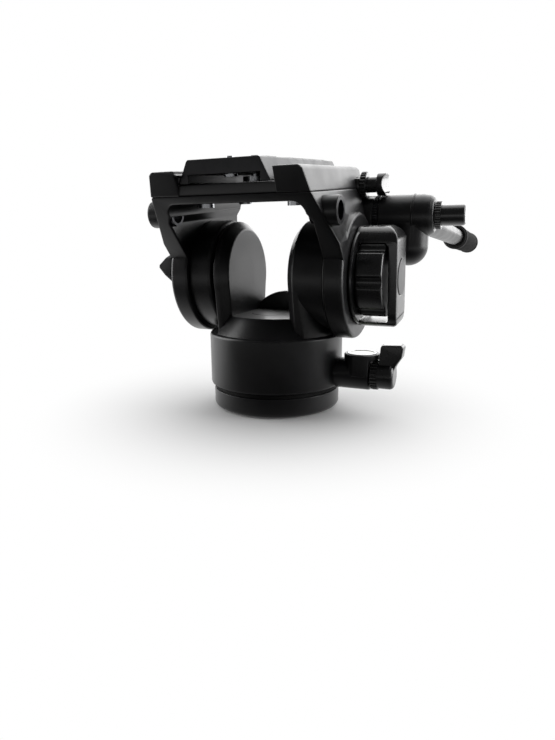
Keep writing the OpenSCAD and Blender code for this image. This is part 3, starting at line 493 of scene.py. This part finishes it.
# rubber grip: a sleeve turned round the bar, with its profile in mm along and out, and a row of finger rings
gripSet = {
    "profile": [(0.2, 7.8), (0.0, 8.2), (0.0, 9.8), (0.7, 10.5), (2.0, 10.5), (2.3, 11.2), (3.0, 11.5), (7.0, 11.5),
                (7.7, 11.2), (8.0, 10.4), (9.0, 9.9), (40.0, 10.0), (71.0, 10.2), (102.0, 10.0), (133.0, 9.9),
                (134.0, 10.4), (134.3, 11.2), (135.0, 11.5), (139.0, 11.5), (139.7, 11.2), (140.0, 10.5),
                (141.3, 10.5), (142.0, 9.8), (142.0, 8.2), (141.8, 7.8)],
    "start": 0.237, "steps": 64, "crease": 40,
    "ringStart": 0.0115, "ringCount": 34, "ringPitch": 0.0036, "ringRadius": 0.01, "ringThick": 0.0009,
}


def makeGrip():
    mesh = bpy.data.meshes.new("gripSleeve")
    bm = bmesh.new()
    drop = -math.radians(tiltSet["barDrop"])
    lean = Matrix.Rotation(drop, 3, "X")
    loops = []
    for k in range(gripSet["steps"]):
        a = 2 * math.pi * k / gripSet["steps"]
        loop = []
        for along, radius in gripSet["profile"]:
            flat = Vector((radius * math.cos(a), along, radius * math.sin(a))) / 1000
            loop.append(bm.verts.new(barPlace(gripSet["start"]) + lean @ flat))
        loops.append(loop)
    size = len(gripSet["profile"])
    for k, loop in enumerate(loops):
        after = loops[(k + 1) % len(loops)]
        for i in range(size):
            j = (i + 1) % size
            bm.faces.new((loop[i], loop[j], after[j], after[i]))
    closeShell(bm, mesh, gripSet["crease"])
    sleeve = addPiece("gripSleeve", mesh, "pan_handle", "rubber_black")
    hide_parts("bar_grip")
    rings = bakeTree("gripRings", rowTree("ringRow", addRing), {
        "Count": gripSet["ringCount"], "Pitch": gripSet["ringPitch"], "Span": gripSet["ringRadius"],
        "Rib Radius": gripSet["ringThick"], "Lean": (drop, 0, 0), "Finish": slotMaterial["rubber_black"],
        "Place": barPlace(gripSet["start"] + gripSet["ringStart"])})
    addPiece("gripRings", rings, "pan_handle", "rubber_black")


makeGrip()
print("stage: grip made")

# fine ribs across the plate's two rubber pads: for each, the place of the first and how many
padSet = {"middle": -0.0011, "width": 0.0276, "top": 0.0646, "sink": 0.00032, "thick": 0.00055, "pitch": 0.0018,
          "rows": {"frontPadRibs": (-0.0402, 7), "rearPadRibs": (-0.0096, 33)}}
barRows = rowTree("barRow", addRod)
for name, (first, count) in padSet["rows"].items():
    mesh = bakeTree(name, barRows, {
        "Count": count, "Pitch": padSet["pitch"], "Span": padSet["width"], "Rib Radius": padSet["thick"],
        "Lean": (math.radians(tiltSet["tilt"]), 0, 0), "Finish": slotMaterial["rubber_black"],
        "Place": tiltPlace(padSet["middle"], first, padSet["top"] - padSet["sink"])})
    addPiece(name, mesh, "plate", "rubber_black")
print("stage: pad ribs made")

# pale floor that fades to white away from the part; mirrored in the part it is white behind it and pale far off
stageSet = {
    "size": 8.0, "gap": 0.0002, "tone": 0.84, "toneSpread": 0.02, "patch": 3.0, "patchDetail": 2.0, "rough": 0.9,
    "shine": 0.1, "bounceTone": 0.05, "fadeFrom": 0.02, "fadeTo": 0.15,
    "mirrorAlong": (-0.39, 0.92, 0), "mirrorFrom": -0.075, "mirrorTo": 0.06,
    "farFrom": 0.2, "farTo": 0.6, "farLevel": 0.5,
}
# dim room in front, bright behind and brighter still where it is mirrored
worldSet = {"frontLevel": 0.06, "backLevel": 0.5, "mirrorLevel": 1.0, "fadeFrom": -0.2, "fadeTo": 0.5}
lampSet = {
    "backPanel": {"place": (-0.2, 1.35, 0.75), "aim": (0, 0, 0.08), "size": (3.2, 1.5), "power": 25},
    "leftPanel": {"place": (-1.05, -0.1, 0.45), "aim": (0, 0, 0.05), "size": (0.9, 1.0), "power": 7},
    "rightPanel": {"place": (1.05, 0.35, 0.45), "aim": (0, 0, 0.08), "size": (0.8, 1.0), "power": 7},
    "topPanel": {"place": (0.0, 0.3, 1.2), "aim": (0, 0, 0), "size": (1.0, 1.0), "power": 2.5},
}
white = (1, 1, 1, 1)


def addRamp(tree, value, low, high, top=1.0, shape="LINEAR"):
    ramp = addNode(tree, "ShaderNodeMapRange", {"Value": value, "From Min": low, "From Max": high, "To Max": top},
                   interpolation_type=shape)
    return ramp.outputs["Result"]


# how white the floor is: as the camera and the glass see it, and as the part mirrors it
def floorWhite(tree, coord, path):
    away = addNode(tree, "ShaderNodeVectorMath", {0: coord}, operation="LENGTH").outputs["Value"]
    behind = addNode(tree, "ShaderNodeVectorMath", {0: coord, 1: stageSet["mirrorAlong"]}, operation="DOT_PRODUCT")
    plain = addRamp(tree, away, stageSet["fadeFrom"], stageSet["fadeTo"], shape="SMOOTHSTEP")
    back = addRamp(tree, behind.outputs["Value"], stageSet["mirrorFrom"], stageSet["mirrorTo"], shape="SMOOTHSTEP")
    far = addRamp(tree, away, stageSet["farFrom"], stageSet["farTo"], stageSet["farLevel"])
    mirrored = addMath(tree, "MAXIMUM", back, far)
    seen = addMath(tree, "MULTIPLY", path["Is Camera Ray"], plain)
    for ray, amount in (("Is Transmission Ray", plain), ("Is Glossy Ray", mirrored)):
        seen = addMath(tree, "MAXIMUM", seen, addMath(tree, "MULTIPLY", path[ray], amount))
    return seen


def floorMaterial():
    material, tree, shader, coord = startMaterial("paleFloor")
    path = addNode(tree, "ShaderNodeLightPath").outputs
    patches = addNoise(tree, coord, stageSet["patch"], stageSet["patchDetail"])
    pale = addTone(tree, patches, (stageSet["tone"],) * 3, (stageSet["tone"] + stageSet["toneSpread"],) * 3)
    bounce = (stageSet["bounceTone"],) * 3 + (1,)
    tone = addNode(tree, "ShaderNodeMix", {"Factor": path["Is Camera Ray"], "A": bounce, "B": pale},
                   data_type="RGBA")
    fillShader(tree, shader, {"Base Color": tone.outputs["Result"], "Roughness": stageSet["rough"],
                              "Specular IOR Level": stageSet["shine"]})
    glow = addNode(tree, "ShaderNodeEmission", {"Color": white})
    mix = addNode(tree, "ShaderNodeMixShader", {
        "Fac": floorWhite(tree, coord, path), 1: shader.outputs["BSDF"], 2: glow.outputs["Emission"]})
    out = next(n for n in tree.nodes if n.bl_idname == "ShaderNodeOutputMaterial")
    feed(tree, out, "Surface", mix.outputs["Shader"])
    return material


def makeFloor():
    mesh = bpy.data.meshes.new("floor")
    half = stageSet["size"] / 2
    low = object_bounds()[0][2] - stageSet["gap"]
    corners = [(-half, -half, low), (half, -half, low), (half, half, low), (-half, half, low)]
    mesh.from_pydata(corners, [], [(0, 1, 2, 3)])
    floor = bpy.data.objects.new("floor", mesh)
    scene.collection.objects.link(floor)
    mesh.materials.append(floorMaterial())


def makeWorld():
    world = bpy.data.worlds.new("studio")
    scene.world = world
    world.use_nodes = True
    tree = world.node_tree
    tree.nodes.clear()
    path = addNode(tree, "ShaderNodeLightPath").outputs
    coord = addNode(tree, "ShaderNodeTexCoord")
    split = addNode(tree, "ShaderNodeSeparateXYZ", {"Vector": coord.outputs["Generated"]})
    level = addNode(tree, "ShaderNodeMapRange", {
        "Value": path["Is Glossy Ray"], "To Min": worldSet["backLevel"], "To Max": worldSet["mirrorLevel"]})
    strength = addNode(tree, "ShaderNodeMapRange", {
        "Value": split.outputs["Y"], "From Min": worldSet["fadeFrom"], "From Max": worldSet["fadeTo"],
        "To Min": worldSet["frontLevel"], "To Max": level.outputs["Result"]})
    room = addNode(tree, "ShaderNodeBackground", {"Color": white, "Strength": strength.outputs["Result"]})
    backdrop = addNode(tree, "ShaderNodeBackground", {"Color": white})
    shown = addMath(tree, "MAXIMUM", path["Is Camera Ray"], path["Is Transmission Ray"])
    mix = addNode(tree, "ShaderNodeMixShader", {
        "Fac": shown, 1: room.outputs["Background"], 2: backdrop.outputs["Background"]})
    addNode(tree, "ShaderNodeOutputWorld", {"Surface": mix.outputs["Shader"]})


def makeLamps():
    for name, lamp in lampSet.items():
        data = bpy.data.lights.new(name, "AREA")
        data.shape = "RECTANGLE"
        data.size, data.size_y = lamp["size"]
        data.energy = lamp["power"]
        obj = bpy.data.objects.new(name, data)
        obj.location = lamp["place"]
        sight = Vector(lamp["aim"]) - Vector(lamp["place"])
        obj.rotation_euler = sight.to_track_quat("-Z", "Y").to_euler()
        obj.visible_camera = False
        scene.collection.objects.link(obj)


makeFloor()
makeWorld()
makeLamps()
scene.view_settings.view_transform = "Standard"
print("stage: floor, world and lamps made")
